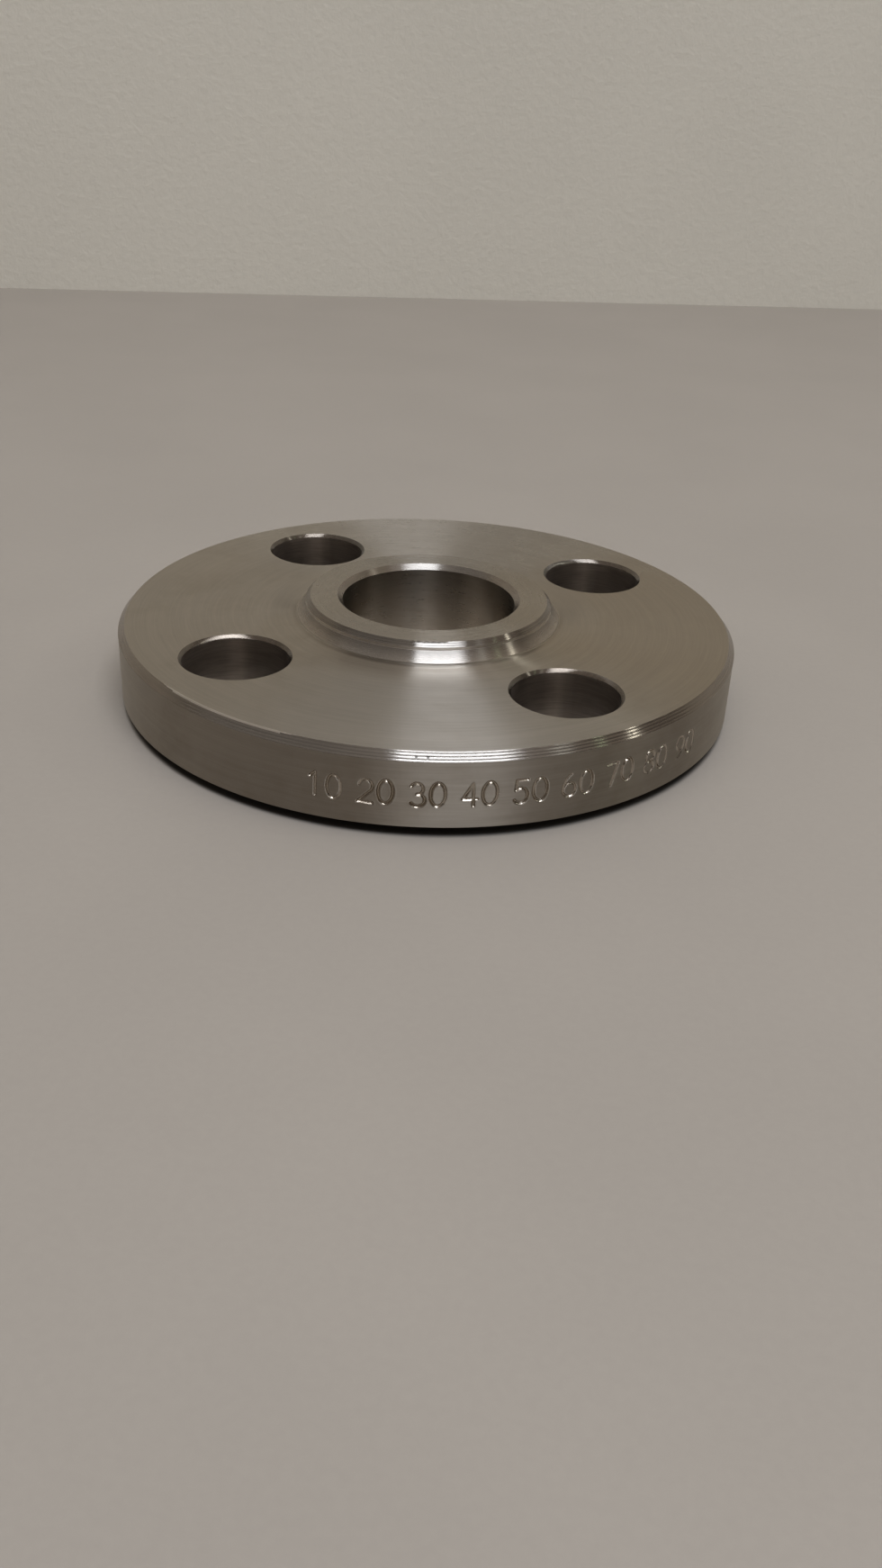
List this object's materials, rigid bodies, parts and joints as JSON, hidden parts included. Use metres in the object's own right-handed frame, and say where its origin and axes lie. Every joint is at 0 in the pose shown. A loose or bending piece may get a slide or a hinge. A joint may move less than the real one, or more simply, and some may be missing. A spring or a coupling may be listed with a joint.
{
  "type": "slip on flange",
  "caption": "Turned stainless steel slip on pipe flange: a thick round disc with a low hub round the bore, bolt holes and a raised gasket face underneath.",
  "frame": {"origin": "centre of the raised gasket face, on the plane that the flange lies on", "axes": "+Z along the bore, from the gasket face towards the hub; the bolt holes straddle +X and +Y, with the first centred 45 degrees round from +X"},
  "size_m": [0.0984, 0.0984, 0.0159],
  "materials": {
    "turned_steel": "fine turned stainless steel with a soft sheen"
  },
  "bodies": {
    "root": {"flange": "turned_steel"}
  },
  "joints": []
}
